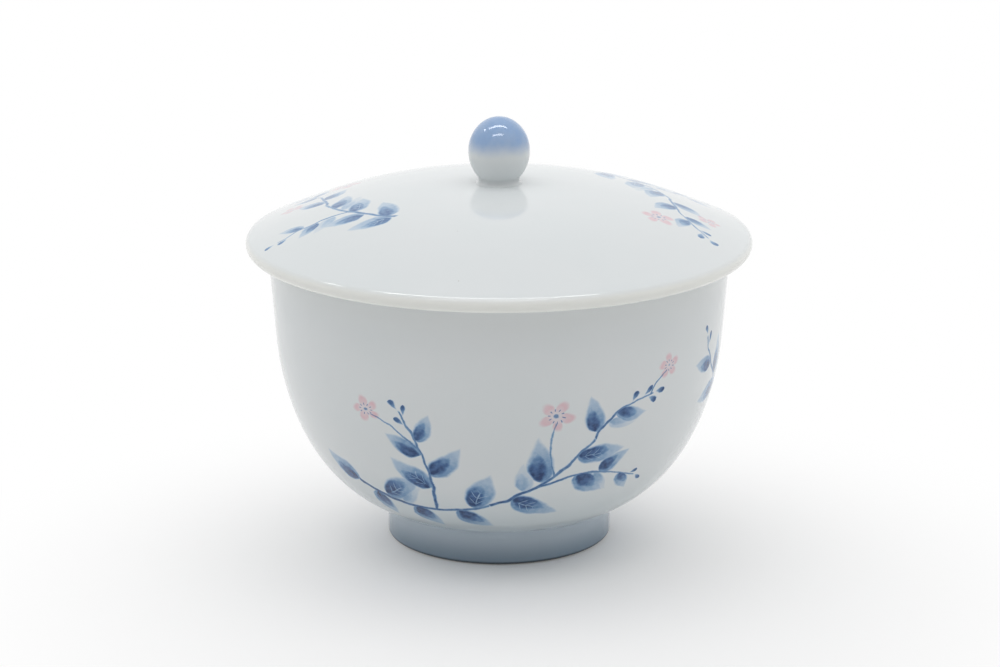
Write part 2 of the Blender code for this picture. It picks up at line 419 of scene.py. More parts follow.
def knob_section():
    """Return the knob's section, with a neck that flows into the lid's crown, and its run."""
    widest = point(0, knob_high.z - KNOB_TOP)
    cut = math.acos(NECK_RADIUS / knob_high.x)
    neck_top = knob_low.z + NECK_HEIGHT
    belly = (widest.y - neck_top) / math.sin(cut)
    egg = oval(widest, knob_high.x, KNOB_TOP, math.pi / 2, 0, 2 * ROUND_POINTS)
    egg += oval(widest, knob_high.x, belly, 0, -cut, 2 * ROUND_POINTS)[1:]
    egg[0].x = 0
    crown = lid_high.z - NECK_SINK
    foot = rounded(point(NECK_RADIUS, neck_top), point(NECK_RADIUS, crown), point(lid_high.x, crown),
                   NECK_COVE)
    outline = egg + foot + [point(0, crown)]
    return outline, distances(outline)


def turned(name, section, run, material):
    """Spin a section about the Z axis into a closed smooth piece that carries its run."""
    bm = bmesh.new()
    run_layer = bm.verts.layers.float.new("run")
    verts = []
    for place, distance in zip(section, run):
        vert = bm.verts.new((place.x, 0, place.y))
        vert[run_layer] = distance
        verts.append(vert)
    edges = [bm.edges.new(pair) for pair in zip(verts, verts[1:])]
    bmesh.ops.spin(bm, geom=verts + edges, cent=(0, 0, 0), axis=(0, 0, 1), angle=2 * math.pi,
                   steps=TURN_STEPS, use_merge=True)
    bmesh.ops.remove_doubles(bm, verts=bm.verts, dist=MERGE_DISTANCE)
    bmesh.ops.recalc_face_normals(bm, faces=bm.faces)
    for face in bm.faces:
        face.smooth = True
    mesh = bpy.data.meshes.new(name)
    bm.to_mesh(mesh)
    bm.free()
    mesh.materials.append(material)
    piece = bpy.data.objects.new(name, mesh)
    bpy.context.collection.objects.link(piece)
    return piece


class Graph:
    """Adds nodes to one shader tree; an input may be a socket, a number or a vector."""

    def __init__(self, tree):
        self.tree = tree

    def node(self, kind, inputs=None, **settings):
        """Add a node with its settings and feed its inputs."""
        node = self.tree.nodes.new(kind)
        for name, value in settings.items():
            setattr(node, name, value)
        for key, value in (inputs or {}).items():
            self.feed(node.inputs[key], value)
        return node

    def feed(self, socket, value):
        """Link a socket to an input, or set the input's own value."""
        if isinstance(value, bpy.types.NodeSocket):
            self.tree.links.new(value, socket)
        else:
            socket.default_value = value

    def place(self, group, **inputs):
        """Add a node group and return its outputs by name."""
        node = self.tree.nodes.new("ShaderNodeGroup")
        node.node_tree = group
        for name, value in inputs.items():
            self.feed(node.inputs[name], value)
        return node.outputs

    def math(self, operation, *values):
        """Return the result of a Math node."""
        return self.node("ShaderNodeMath", dict(enumerate(values)), operation=operation).outputs[0]

    def product(self, *values):
        """Return the product of several values."""
        result = values[0]
        for value in values[1:]:
            result = self.math("MULTIPLY", result, value)
        return result

    def vector(self, operation, *values):
        """Return the vector result of a Vector Math node."""
        node = self.node("ShaderNodeVectorMath", dict(enumerate(values)), operation=operation)
        return node.outputs["Vector"]

    def scaled(self, vector, factor):
        """Return a vector times a number."""
        node = self.node("ShaderNodeVectorMath", {0: vector, "Scale": factor}, operation="SCALE")
        return node.outputs["Vector"]

    def dot(self, first, second):
        """Return the dot product of two vectors."""
        node = self.node("ShaderNodeVectorMath", {0: first, 1: second}, operation="DOT_PRODUCT")
        return node.outputs["Value"]

    def length(self, vector):
        """Return a vector's length."""
        return self.node("ShaderNodeVectorMath", {0: vector}, operation="LENGTH").outputs["Value"]

    def here(self):
        """Return the shaded place in the object's own coordinates."""
        return self.node("ShaderNodeTexCoord").outputs["Object"]

    def parts(self, vector):
        """Return the three parts of a vector."""
        return self.node("ShaderNodeSeparateXYZ", {0: vector}).outputs

    def from_axis(self, parts):
        """Return how far a place lies from the Z axis."""
        return self.length(self.joined(parts["X"], parts["Y"]))

    def joined(self, x, y, z=0.0):
        """Return a vector made of three values."""
        return self.node("ShaderNodeCombineXYZ", {0: x, 1: y, 2: z}).outputs[0]

    def ease(self, value, low, high, to_low=0.0, to_high=1.0):
        """Return a value eased from one range into another."""
        inputs = {"Value": value, "From Min": low, "From Max": high,
                  "To Min": to_low, "To Max": to_high}
        node = self.node("ShaderNodeMapRange", inputs, interpolation_type="SMOOTHSTEP", clamp=False)
        return node.outputs["Result"]

    def fade(self, value, low, high):
        """Return 1 below a range and 0 above it, eased between."""
        return self.ease(value, low, high, 1.0, 0.0)

    def noise(self, vector, scale, detail, output="Fac"):
        """Return a noise of about 0 to 1, or its colour."""
        node = self.node("ShaderNodeTexNoise", {"Vector": vector, "Scale": scale, "Detail": detail})
        return node.outputs[output]

    def mixed(self, factor, first, second):
        """Return a mix of two values."""
        return self.node("ShaderNodeMix", {0: factor, 2: first, 3: second}, data_type="FLOAT").outputs[0]

    def blend(self, factor, first, second):
        """Return a mix of two colours."""
        node = self.node("ShaderNodeMix", data_type="RGBA")
        self.feed(node.inputs["Factor"], factor)
        for socket, colour in zip((node.inputs[6], node.inputs[7]), (first, second)):
            self.feed(socket, colour if isinstance(colour, bpy.types.NodeSocket) else (*colour, 1))
        return node.outputs[2]

    def tinted(self, colour, tint):
        """Return one colour multiplied by another."""
        node = self.node("ShaderNodeMix", {"Factor": 1.0, 6: colour, 7: tint}, data_type="RGBA",
                         blend_type="MULTIPLY")
        return node.outputs[2]


# Kinds of a node group's sockets, and the inputs that every stroke's group has
SOCKETS = {"vector": "NodeSocketVector", "value": "NodeSocketFloat", "colour": "NodeSocketColor"}
STROKE_INPUTS = {"Canvas": "vector", "Base": "vector", "Along": "vector", "Across": "vector",
                 "Bend": "value", "Ink": "value"}


class Effect(Graph):
    """A shader node group with named inputs and outputs."""

    def __init__(self, name, inputs, outputs):
        group = bpy.data.node_groups.new(name, "ShaderNodeTree")
        super().__init__(group)
        for label, kind in inputs.items():
            group.interface.new_socket(label, in_out="INPUT", socket_type=SOCKETS[kind])
        for label, kind in outputs.items():
            group.interface.new_socket(label, in_out="OUTPUT", socket_type=SOCKETS[kind])
        self.given = self.node("NodeGroupInput").outputs
        self.result = self.node("NodeGroupOutput").inputs

    def done(self, **outputs):
        """Feed the outputs and return the group."""
        for name, value in outputs.items():
            self.feed(self.result[name], value)
        return self.tree


def stroke_frame(effect):
    """Return how far along a stroke and how far off its middle line a point lies."""
    given = effect.given
    place = effect.vector("SUBTRACT", given["Canvas"], given["Base"])
    along = effect.dot(place, given["Along"])
    bow = effect.math("MULTIPLY", along, effect.math("SUBTRACT", 1.0, along))
    side = effect.math("SUBTRACT", effect.dot(place, given["Across"]),
                       effect.math("MULTIPLY", given["Bend"], bow))
    return along, side


def leaf_half(effect, along, fullness):
    """Return a leaf's half width: blunt at the stalk, pointed at the tip."""
    blunt = effect.math("POWER", effect.math("MAXIMUM", along, 0.0), LEAF_BLUNTNESS)
    return effect.product(blunt, effect.math("SUBTRACT", 1.0, along), fullness)


def leaf_brush():
    """Make the brush for a leaf: a soft wash, a dense core by the stalk and scratched veins."""
    effect = Effect("leaf_brush", {**STROKE_INPUTS, "Veins": "value"}, {"Density": "value"})
    along, side = stroke_frame(effect)
    off = effect.math("ABSOLUTE", side)
    half = leaf_half(effect, along, LEAF_FULLNESS)
    cover = effect.ease(effect.math("SUBTRACT", half, off), *LEAF_EDGE)
    wash = effect.product(cover, effect.ease(along, *LEAF_THINS, *LEAF_WASH))
    nearer = effect.math("DIVIDE", along, CORE_LENGTH)
    core_off = effect.math("ABSOLUTE", effect.math("SUBTRACT", side, CORE_OFFSET))
    core_half = leaf_half(effect, nearer, CORE_FULLNESS)
    core = effect.ease(effect.math("SUBTRACT", core_half, core_off), *CORE_EDGE)
    streak = effect.math("SINE", effect.math("ADD", effect.math("MULTIPLY", side, STREAKS_ACROSS),
                                             effect.math("MULTIPLY", along, STREAKS_ALONG)))
    streak = effect.math("MULTIPLY_ADD", streak, STREAK_DEPTH, 1.0 - STREAK_DEPTH)
    core = effect.product(core, cover, streak, effect.ease(nearer, *LEAF_THINS, *CORE_LEVELS))
    rib = effect.fade(off, *RIB_EDGE)
    slanted = effect.math("SUBTRACT", along, effect.math("MULTIPLY", off, VEIN_SLANT))
    vein = effect.fade(effect.math("PINGPONG", slanted, VEIN_SPACING), *VEIN_EDGE)
    vein = effect.product(vein, effect.fade(off, *VEIN_REACH))
    scratch = effect.product(effect.math("MAXIMUM", rib, vein), effect.ease(along, *VEINS_BEGIN),
                             effect.fade(along, *VEINS_END), effect.given["Veins"])
    density = effect.product(effect.math("MAXIMUM", wash, core), effect.given["Ink"],
                             effect.math("SUBTRACT", 1.0, scratch))
    return effect.done(Density=density)


def bud_brush():
    """Make the brush for a bud: a drop that is fine at the stalk and pressed wide at its end."""
    effect = Effect("bud_brush", STROKE_INPUTS, {"Density": "value"})
    along, side = stroke_frame(effect)
    fine = effect.math("POWER", effect.math("MAXIMUM", along, 0.0), BUD_FINENESS)
    end = effect.math("SQRT", effect.math("MAXIMUM", effect.math("SUBTRACT", 1.0, along), 0.0))
    half = effect.product(fine, end, BUD_FULLNESS)
    cover = effect.ease(effect.math("SUBTRACT", half, effect.math("ABSOLUTE", side)), *BUD_EDGE)
    deeper = effect.ease(along, *BUD_DEEPENS, *BUD_LEVELS)
    return effect.done(Density=effect.product(cover, deeper, effect.given["Ink"]))


def stem_brush():
    """Make the brush for a stem: a bowed line that thins from one end to the other."""
    effect = Effect("stem_brush", {**STROKE_INPUTS, "First": "value", "Last": "value"},
                    {"Density": "value"})
    given = effect.given
    along, side = stroke_frame(effect)
    width = effect.ease(along, 0.0, 1.0, given["First"], given["Last"])
    off = effect.math("DIVIDE", effect.math("ABSOLUTE", side), width)
    cover = effect.product(effect.fade(off, *STEM_EDGE), effect.ease(along, *STEM_BEGINS),
                           effect.fade(along, *STEM_ENDS))
    paler = effect.ease(along, 0.0, 1.0, *STEM_LEVELS)
    return effect.done(Density=effect.product(cover, paler, given["Ink"]))


def blossom_brush():
    """Make the brush for a blossom: five pink petals round a few inked stamens."""
    effect = Effect("blossom_brush",
                    {"Canvas": "vector", "Centre": "vector", "Size": "value", "Turn": "value",
                     "Ink": "value"},
                    {"Blush": "value", "Density": "value"})
    given = effect.given
    place = effect.vector("SUBTRACT", given["Canvas"], given["Centre"])
    out = effect.math("DIVIDE", effect.length(place), given["Size"])
    parts = effect.parts(place)
    turn = effect.math("ADD", effect.math("ARCTAN2", parts["Y"], parts["X"]), given["Turn"])
    lobe = effect.math("ABSOLUTE", effect.math("COSINE", effect.math("MULTIPLY", turn, PETALS / 2)))
    lobe = effect.math("POWER", lobe, PETAL_ROUNDNESS)
    petal = effect.math("MULTIPLY_ADD", lobe, PETAL_LENGTH, PETAL_NOTCH)
    cover = effect.ease(effect.math("SUBTRACT", petal, out), *PETAL_EDGE)
    cover = effect.product(cover, effect.ease(out, *PETAL_FLUSH, *PETAL_LEVELS), given["Ink"])
    ray = effect.ease(effect.math("COSINE", effect.math("MULTIPLY", turn, STAMENS)), *STAMEN_WIDTH)
    ray = effect.product(ray, effect.ease(out, *STAMEN_BEGINS), effect.fade(out, *STAMEN_ENDS))
    eye = effect.ease(out, *EYE_EDGE, EYE_INK, 0.0)
    stamens = effect.math("MULTIPLY", effect.math("MAXIMUM", ray, eye), STAMEN_INK)
    return effect.done(Blush=cover, Density=effect.product(stamens, given["Ink"]))


def brush_wander():
    """Make the hand's wander: a canvas whose lines waver and whose edges bleed a little."""
    effect = Effect("brush_wander", {"Canvas": "vector"}, {"Canvas": "vector", "Pigment": "value"})
    canvas = effect.given["Canvas"]
    slow = effect.vector("SUBTRACT", effect.noise(canvas, *SLOW_WANDER, "Color"), NOISE_MIDDLE)
    fine = effect.vector("SUBTRACT", effect.noise(canvas, *FINE_WANDER, "Color"), NOISE_MIDDLE)
    wander = effect.vector("ADD", effect.scaled(slow, SLOW_WANDER_SIZE),
                           effect.scaled(fine, FINE_WANDER_SIZE))
    pigment = effect.ease(effect.noise(canvas, *PIGMENT), *WIDE_NOISE_BAND, *PIGMENT_LEVELS)
    return effect.done(Canvas=effect.vector("ADD", canvas, wander), Pigment=pigment)


def glaze_surface():
    """Make the fired glaze: slow waves in its surface, faint clouds in its colour and rare specks."""
    effect = Effect("glaze_surface", {"Place": "vector"},
                    {"Waves": "value", "Clouds": "value", "Specks": "value", "Gloss": "value"})
    place = effect.given["Place"]
    waves = effect.math("ADD", effect.noise(place, *WAVES),
                        effect.math("MULTIPLY", effect.noise(place, *RIPPLES), RIPPLE_SHARE))
    clouds = effect.ease(effect.noise(place, *CLOUDS), *NOISE_BAND)
    cells = effect.node("ShaderNodeTexVoronoi", {"Vector": place, "Scale": SPECK_SCALE})
    chosen = effect.math("GREATER_THAN", effect.parts(cells.outputs["Color"])["X"], SPECK_RARITY)
    specks = effect.product(effect.fade(cells.outputs["Distance"], *SPECK_EDGE), chosen)
    gloss = effect.ease(effect.noise(place, *GLOSS), *NOISE_BAND, *GLOSS_LEVELS)
    return effect.done(Waves=waves, Clouds=clouds, Specks=specks, Gloss=gloss)


def spray_ink():
    """Make the ink's colours: what a density of cobalt and of pink leaves of the glaze's colour."""
    effect = Effect("spray_ink", {"Glaze": "colour", "Density": "value", "Blush": "value"},
                    {"Colour": "colour"})
    ramp = effect.node("ShaderNodeValToRGB", {"Fac": effect.given["Density"]})
    steps = ramp.color_ramp.elements
    for at, _ in INK_STEPS[1:-1]:
        steps.new(at)
    for step, (at, colour) in zip(steps, INK_STEPS):
        step.position = at
        step.color = (*colour, 1)
    blushed = effect.blend(effect.given["Blush"], (1, 1, 1), BLUSH)
    colour = effect.tinted(effect.tinted(effect.given["Glaze"], blushed), ramp.outputs["Color"])
    return effect.done(Colour=colour)


LEAF_BRUSH = leaf_brush()
BUD_BRUSH = bud_brush()
STEM_BRUSH = stem_brush()
BLOSSOM_BRUSH = blossom_brush()
BRUSH_WANDER = brush_wander()
GLAZE_SURFACE = glaze_surface()
SPRAY_INK = spray_ink()


class Stem:
    """A bowed line on the canvas, in millimetres: its ends, its bow to the left and its half widths."""

    def __init__(self, start, end, bow, first, last, ink):
        self.start = Vector(start).to_3d()
        self.way = Vector(end).to_3d() - self.start
        self.left = Vector((-self.way.y, self.way.x, 0)).normalized()
        self.bend = BEND_PER_BOW * bow
        self.first = first
        self.last = last
        self.ink = ink

    def at(self, share):
        """Return the place at a share of the stem's length."""
        return self.start + self.way * share + self.left * (self.bend * share * (1 - share))

    def heading(self, share):
        """Return the stem's direction there, in radians."""
        way = self.way + self.left * (self.bend * (1 - 2 * share))
        return math.atan2(way.y, way.x)

    def springing(self, share, angle, gap):
        """Return a stroke's base by the stem, and its heading by an angle in degrees to the left."""
        heading = self.heading(share) + math.radians(angle)
        return self.at(share) + gap * leaning(heading).to_3d(), heading


class Spray:
    """Strokes brushed on one canvas: each joins the ink and the blush as it is laid."""

    def __init__(self, graph, canvas):
        self.graph = graph
        self.canvas = canvas
        self.ink = 0.0
        self.blush = 0.0

    def stroke(self, group, base, heading, length, half_width, bend, **inputs):
        """Lay one stroke from its base along a heading."""
        along = leaning(heading).to_3d()
        across = Vector((-along.y, along.x, 0))
        outputs = self.graph.place(group, Canvas=self.canvas, Base=base, Along=along / length,
                                   Across=across / half_width, Bend=bend, **inputs)
        self.ink = self.graph.math("MAXIMUM", self.ink, outputs["Density"])

    def stem(self, stem):
        """Brush a stem."""
        self.stroke(STEM_BRUSH, stem.start, math.atan2(stem.way.y, stem.way.x), stem.way.length, 1.0,
                    stem.bend, First=stem.first, Last=stem.last, Ink=stem.ink)

    def leaf(self, stem, share, angle, length, half_width, bend=LEAF_BEND, ink=1.0, veins=0.0):
        """Brush a leaf that springs from a stem."""
        base, heading = stem.springing(share, angle, LEAF_GAP)
        self.stroke(LEAF_BRUSH, base, heading, length, half_width, bend, Ink=ink, Veins=veins)

    def bud(self, stem, share, angle, length, half_width):
        """Brush a bud that springs from a stem."""
        base, heading = stem.springing(share, angle, BUD_GAP)
        self.stroke(BUD_BRUSH, base, heading, length, half_width, 0.0, Ink=BUD_INK)

    def blossom(self, place, size, turn):
        """Brush a blossom."""
        outputs = self.graph.place(BLOSSOM_BRUSH, Canvas=self.canvas, Centre=(*place, 0), Size=size,
                                   Turn=math.radians(turn), Ink=BLOSSOM_INK)
        self.blush = self.graph.math("MAXIMUM", self.blush, outputs["Blush"])
        self.ink = self.graph.math("MAXIMUM", self.ink, outputs["Density"])


def bowl_spray(spray):
    """Brush the bowl's spray: a branch that dips and climbs to the right, two twigs and a far sprig."""
    low = Stem((-34, 24), (-2, 21), -4.0, 0.56, 0.50, 0.90)
    middle = Stem((-2, 21), (19, 39), -2.0, 0.50, 0.38, 0.85)
    tip = Stem((19, 39), (32, 47), 1.9, 0.38, 0.24, 0.75)
    rising = Stem(low.at(0.62), (-20, 45), -2.5, 0.44, 0.26, 0.80)
    drooping = Stem(middle.at(0.35), (31, 26), 3.5, 0.40, 0.24, 0.75)
    far = Stem((65, 38), (50, 55), 2.0, 0.44, 0.26, 0.80)
    upper_stalk = Stem(middle.at(0.58), (11.0, 43.5), 1.0, 0.28, 0.22, 0.60)
    left_stalk = Stem(rising.at(0.66), (-26.0, 43.5), -0.8, 0.28, 0.22, 0.60)
    right_stalk = Stem(tip.at(0.95), (35.5, 51.5), 0.5, 0.26, 0.20, 0.60)
    for stem in (low, middle, tip, rising, drooping, far, upper_stalk, left_stalk, right_stalk):
        spray.stem(stem)

    spray.leaf(low, 0.02, 172, 10.5, 2.8)
    spray.leaf(low, 0.14, -50, 10.0, 2.8, -0.3)
    spray.leaf(low, 0.24, 60, 12.5, 3.4, veins=0.6)
    spray.leaf(low, 0.44, -46, 10.5, 3.0, -0.3)
    spray.leaf(low, 0.76, -50, 11.5, 3.1, -0.3)
    spray.leaf(low, 0.88, 52, 12.0, 3.4, veins=0.6)
    spray.leaf(middle, 0.16, -54, 12.5, 3.2, -0.3, veins=0.6)
    spray.leaf(middle, 0.46, 56, 12.5, 3.2)
    spray.leaf(middle, 0.80, -46, 10.6, 2.8, -0.3, veins=0.5)
    spray.leaf(tip, 0.06, 44, 9.0, 2.4, 0.2)
    spray.leaf(tip, 0.40, -42, 7.6, 2.0, -0.2, 0.9)
    spray.leaf(rising, 0.26, 48, 11.5, 3.0, veins=0.5)
    spray.leaf(rising, 0.38, -46, 10.8, 2.8, -0.3)
    spray.leaf(rising, 0.60, 44, 9.0, 2.4, 0.2)
    spray.leaf(rising, 0.72, -42, 7.8, 2.1, -0.2, 0.9)
    spray.leaf(drooping, 0.36, -44, 9.8, 2.7, -0.2)
    spray.leaf(drooping, 0.58, 40, 8.6, 2.3, 0.2)
    spray.leaf(drooping, 0.80, -38, 6.6, 1.7, -0.2, 0.85)
    spray.leaf(far, 0.30, 50, 10.5, 2.7)
    spray.leaf(far, 0.42, -46, 10.0, 2.6, -0.3)
    spray.leaf(far, 0.68, 46, 8.0, 2.1, 0.2)

    for share, angle in ((0.66, 40), (0.84, 34), (1.0, -4), (0.90, -42)):
        spray.bud(tip, share, angle, 3.0, 0.9)
    for share, angle in ((0.88, 36), (0.94, -36), (1.0, 4)):
        spray.bud(rising, share, angle, 2.9, 0.85)
    for share, angle in ((0.92, 36), (1.0, -4)):
        spray.bud(drooping, share, angle, 2.6, 0.8)
    for share, angle in ((0.90, -38), (1.0, 0)):
        spray.bud(far, share, angle, 2.8, 0.85)

    spray.leaf(low, 0.37, 64, 8.0, 2.2, 0.3, 0.42)
    spray.leaf(middle, 0.30, 60, 8.5, 2.1, 0.3, 0.40)
    spray.leaf(drooping, 0.52, -48, 7.5, 1.9, -0.3, 0.42)
    spray.leaf(tip, 0.22, -50, 7.0, 1.7, -0.3, 0.38)

    spray.blossom((11.0, 45.0), 4.2, 12)
    spray.blossom((36.0, 52.5), 3.2, 50)
    spray.blossom((-27.0, 44.5), 3.7, 30)


def lid_spray(spray):
    """Brush the lid's spray, which starts by the crown and bends along the edge."""
    inner = Stem((-22, -21), (-38, -3), 2.2, 0.44, 0.36, 0.85)
    outer = Stem((-38, -3), (-45, 17), -1.6, 0.36, 0.24, 0.80)
    side = Stem(inner.at(0.55), (-48, -17), -1.2, 0.34, 0.24, 0.75)
    for stem in (inner, outer, side):
        spray.stem(stem)
    spray.leaf(inner, 0.02, 42, 10.5, 2.8, veins=0.5)
    spray.leaf(inner, 0.06, -48, 10.0, 2.7, -0.3)
    spray.leaf(inner, 0.34, 52, 9.4, 2.6)
    spray.leaf(inner, 0.46, -50, 9.8, 2.6, -0.3, veins=0.5)
    spray.leaf(inner, 0.78, -46, 9.0, 2.5, -0.2)
    spray.leaf(outer, 0.10, 48, 8.2, 2.2, 0.2)
    spray.leaf(outer, 0.24, -46, 8.0, 2.2, -0.2)
    spray.leaf(outer, 0.54, 42, 6.8, 1.8, 0.2)
    spray.leaf(outer, 0.62, -42, 6.8, 1.8, -0.2, 0.9)
    spray.leaf(side, 0.42, 42, 7.0, 1.9, 0.2)
    spray.leaf(side, 0.58, -42, 6.8, 1.9, -0.2, 0.9)
    for share, angle in ((0.82, 36), (0.90, -36), (1.0, 4)):
        spray.bud(outer, share, angle, 3.0, 0.95)
    for share, angle in ((0.86, 32), (1.0, -6)):
        spray.bud(side, share, angle, 2.8, 0.9)
    spray.leaf(inner, 0.64, -58, 9.0, 2.2, -0.3, 0.42)
    spray.leaf(side, 0.20, 52, 8.0, 2.1, 0.3, 0.42)
    spray.blossom((-34.5, 14.5), 4.2, 10)
    spray.blossom((-46.0, 5.5), 3.0, 40)


def unrolled(graph, parts, radius, run):
    """Return the bowl's canvas in millimetres: round the wall from the front, and up it."""
    turn = graph.math("ARCTAN2", parts["X"], graph.math("MULTIPLY", parts["Y"], -1.0))
    turn = graph.math("WRAP", turn, math.pi / 2, -math.pi / 2)
    reach = graph.math("MULTIPLY_ADD", radius, CANVAS_FLARE, CANVAS_RADIUS * (1 - CANVAS_FLARE))
    return graph.joined(graph.product(turn, reach, 1 / MM), graph.math("MULTIPLY", run, 1 / MM))


def flattened(graph, parts):
    """Return the lid's canvas in millimetres, seen from above and turned half round on the right."""
    half = graph.math("SIGN", graph.math("MULTIPLY", parts["X"], -1.0))
    return graph.scaled(graph.joined(parts["X"], parts["Y"]), graph.math("MULTIPLY", half, 1 / MM))


def painted(graph, canvas, run, glaze, brushwork, strength):
    """Return the glaze's colour with a spray under it, where the surface has a run."""
    wandering = graph.place(BRUSH_WANDER, Canvas=canvas)
    spray = Spray(graph, wandering["Canvas"])
    brushwork(spray)
    outside = graph.math("GREATER_THAN", run, 0.0)
    density = graph.product(spray.ink, wandering["Pigment"], outside, strength)
    blush = graph.product(spray.blush, wandering["Pigment"], outside)
    return graph.place(SPRAY_INK, Glaze=glaze, Density=density, Blush=blush)["Colour"]


def new_glaze(name):
    """Return a glossy material, its shader and its graph."""
    material = bpy.data.materials.new(name)
    material.use_nodes = True
    shader = material.node_tree.nodes["Principled BSDF"]
    shader.inputs["IOR"].default_value = GLAZE_IOR
    return material, shader, Graph(material.node_tree)


def short_of(level, band):
    """Return the two places that lie a band's distances short of a level."""
    return [level - distance for distance in band]


def past(level, band):
    """Return the two places that lie a band's distances past a level."""
    return [level + distance for distance in band]


def clouded(graph, surface):
    """Return the white glaze's colour with its faint clouds."""
    clouds = graph.math("MULTIPLY", surface["Clouds"], CLOUD_STRENGTH)
    return graph.blend(clouds, PORCELAIN, POOLED_GLAZE)


def wiped(graph, bare, colour, surface):
    """Return a glaze's colour and roughness with bare clay where it is wiped off."""
    gloss = graph.math("MULTIPLY_ADD", bare, BARE_ROUGHNESS, surface["Gloss"])
    return graph.blend(bare, colour, BARE_CLAY), gloss


def finished(graph, shader, colour, gloss, surface, waviness=WALL_WAVINESS):
    """Feed a glaze's shader, with specks in its colour and waves in its surface."""
    specks = graph.math("MULTIPLY", surface["Specks"], SPECK_STRENGTH)
    bump = graph.node("ShaderNodeBump",
                      {"Height": surface["Waves"], "Strength": waviness, "Distance": WAVE_HEIGHT})
    graph.feed(shader.inputs["Base Color"], graph.blend(specks, colour, SPECK_COLOUR))
    graph.feed(shader.inputs["Roughness"], gloss)
    graph.feed(shader.inputs["Normal"], bump.outputs["Normal"])


def turned_place(graph):
    """Return a turned surface's place, its parts, its distance from the axis and its run."""
    place = graph.here()
    parts = graph.parts(place)
    run = graph.node("ShaderNodeAttribute", attribute_name="run").outputs["Fac"]
    return place, parts, graph.from_axis(parts), run


def bowl_glaze():
    """Make the bowl's finish: white glaze, the spray, a blue foot wash darkened by painted shade,
    painted light under the lid, a painted contact shadow and bare clay where it stands.
    """
    material, shader, graph = new_glaze("bowl_glaze")
    place, parts, radius, run = turned_place(graph)
    canvas = unrolled(graph, parts, radius, run)
    surface = graph.place(GLAZE_SURFACE, Place=place)
    height = parts["Z"]
    # Painted light: the upper wall, in the lid's shadow, is lightened
    under_lid_light = graph.ease(height, *short_of(lid_low.z, UNDER_LID_LIGHT_REACH))
    white = graph.blend(under_lid_light, clouded(graph, surface), UNDER_LID_PAINTED_LIGHT)
    lip = graph.ease(height, *short_of(bowl_high.z, LIP_BAND))
    white = graph.blend(graph.math("MULTIPLY", lip, LIP_STRENGTH), white, WARM_EDGE_AND_PAINTED_LIGHT)
    within = graph.math("LESS_THAN", run, 0.0)
    pool = graph.product(within, graph.fade(height, *POOL_BAND),
                         graph.math("GREATER_THAN", height, POOL_BOTTOM), POOL_STRENGTH)
    white = graph.blend(pool, white, POOLED_GLAZE)
    # Blue wash with painted shade on the foot and lower belly, darker towards the floor
    wavering = graph.math("MULTIPLY_ADD", graph.noise(place, *WASH_EDGE), WASH_WAVER, run)
    outside = graph.math("GREATER_THAN", radius, foot_high.x - FOOT_WALL / 2)
    fading = graph.math("SUBTRACT", graph.fade(wavering, *WASH_AND_SHADE_FADE), within)
    wash = graph.math("MAXIMUM", fading, graph.math("LESS_THAN", height, foot_high.z))
    wash = graph.math("MULTIPLY", wash, outside)
    washed_and_shaded = graph.blend(graph.ease(height, 0.0, FOOT_WASH_SHADE_HEIGHT), FOOT_WASH_AND_SHADE, FOOT_WASH)
    washed_and_shaded = graph.blend(graph.ease(height, foot_high.z, foot_high.z + FOOT_COVE), washed_and_shaded, BELLY_WASH_AND_SHADE)
    colour = painted(graph, canvas, run, graph.blend(wash, white, washed_and_shaded), bowl_spray, BOWL_INK)
    # Painted contact shadow along the foot's bottom edge
    line = graph.math("MULTIPLY", graph.ease(height, *CONTACT_SHADOW_BAND, CONTACT_SHADOW_STRENGTH, 0.0), outside)
    colour = graph.blend(line, colour, FOOT_CONTACT_SHADOW)
    colour, gloss = wiped(graph, graph.fade(height, *STAND_BAND), colour, surface)
    finished(graph, shader, colour, gloss, surface)
    return material


def lid_glaze():
    """Make the lid's finish: white glaze, two sprays, a narrow warm edge lightened by painted light, and
    a bare flange.
    """
    material, shader, graph = new_glaze("lid_glaze")
    place, parts, radius, run = turned_place(graph)
    canvas = flattened(graph, parts)
    surface = graph.place(GLAZE_SURFACE, Place=place)
    height = parts["Z"]
    widest = lid_low.z + EDGE_ROUND_BOTTOM
    # Painted light: the lower half of the rim is lightened as well as warmed
    edge = graph.math("MULTIPLY", graph.ease(radius, *short_of(lid_high.x, WARM_LIT_REACH)),
                      graph.fade(height, widest + WARM_LIT_RISE, widest + EDGE_ROUND_TOP))
    white = graph.blend(edge, clouded(graph, surface), WARM_EDGE_AND_PAINTED_LIGHT)
    colour = painted(graph, canvas, run, white, lid_spray, LID_INK)
    bare = graph.fade(height, *past(flange_low.z, FLANGE_BAND))
    colour, gloss = wiped(graph, bare, colour, surface)
    finished(graph, shader, colour, gloss, surface)
    return material


def knob_glaze():
    """Make the knob's finish: a blue wash that fades to white below its widest line."""
    material, shader, graph = new_glaze("knob_glaze")
    place = graph.here()
    surface = graph.place(GLAZE_SURFACE, Place=place)
    height = graph.parts(place)["Z"]
    wavering = graph.math("MULTIPLY_ADD", graph.noise(place, *KNOB_EDGE), KNOB_WAVER, height)
    wash = graph.ease(wavering, *past(knob_high.z - KNOB_TOP, KNOB_BAND))
    mottle = graph.ease(graph.noise(place, *MOTTLE), *WIDE_NOISE_BAND, *MOTTLE_LEVELS)
    colour = graph.blend(graph.math("MULTIPLY", wash, mottle), clouded(graph, surface), KNOB_WASH)
    finished(graph, shader, colour, surface["Gloss"], surface, KNOB_WAVINESS)
    return material


bowl = turned("glazed_bowl", *bowl_section(), bowl_glaze())
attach(bowl, "bowl")
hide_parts("bowl", "foot_ring")

lid = turned("glazed_lid", *lid_section(), lid_glaze())
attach(lid, "lid")
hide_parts("lid", "lid_flange")

knob = turned("glazed_knob", *knob_section(), knob_glaze())
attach(knob, "lid")
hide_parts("knob")


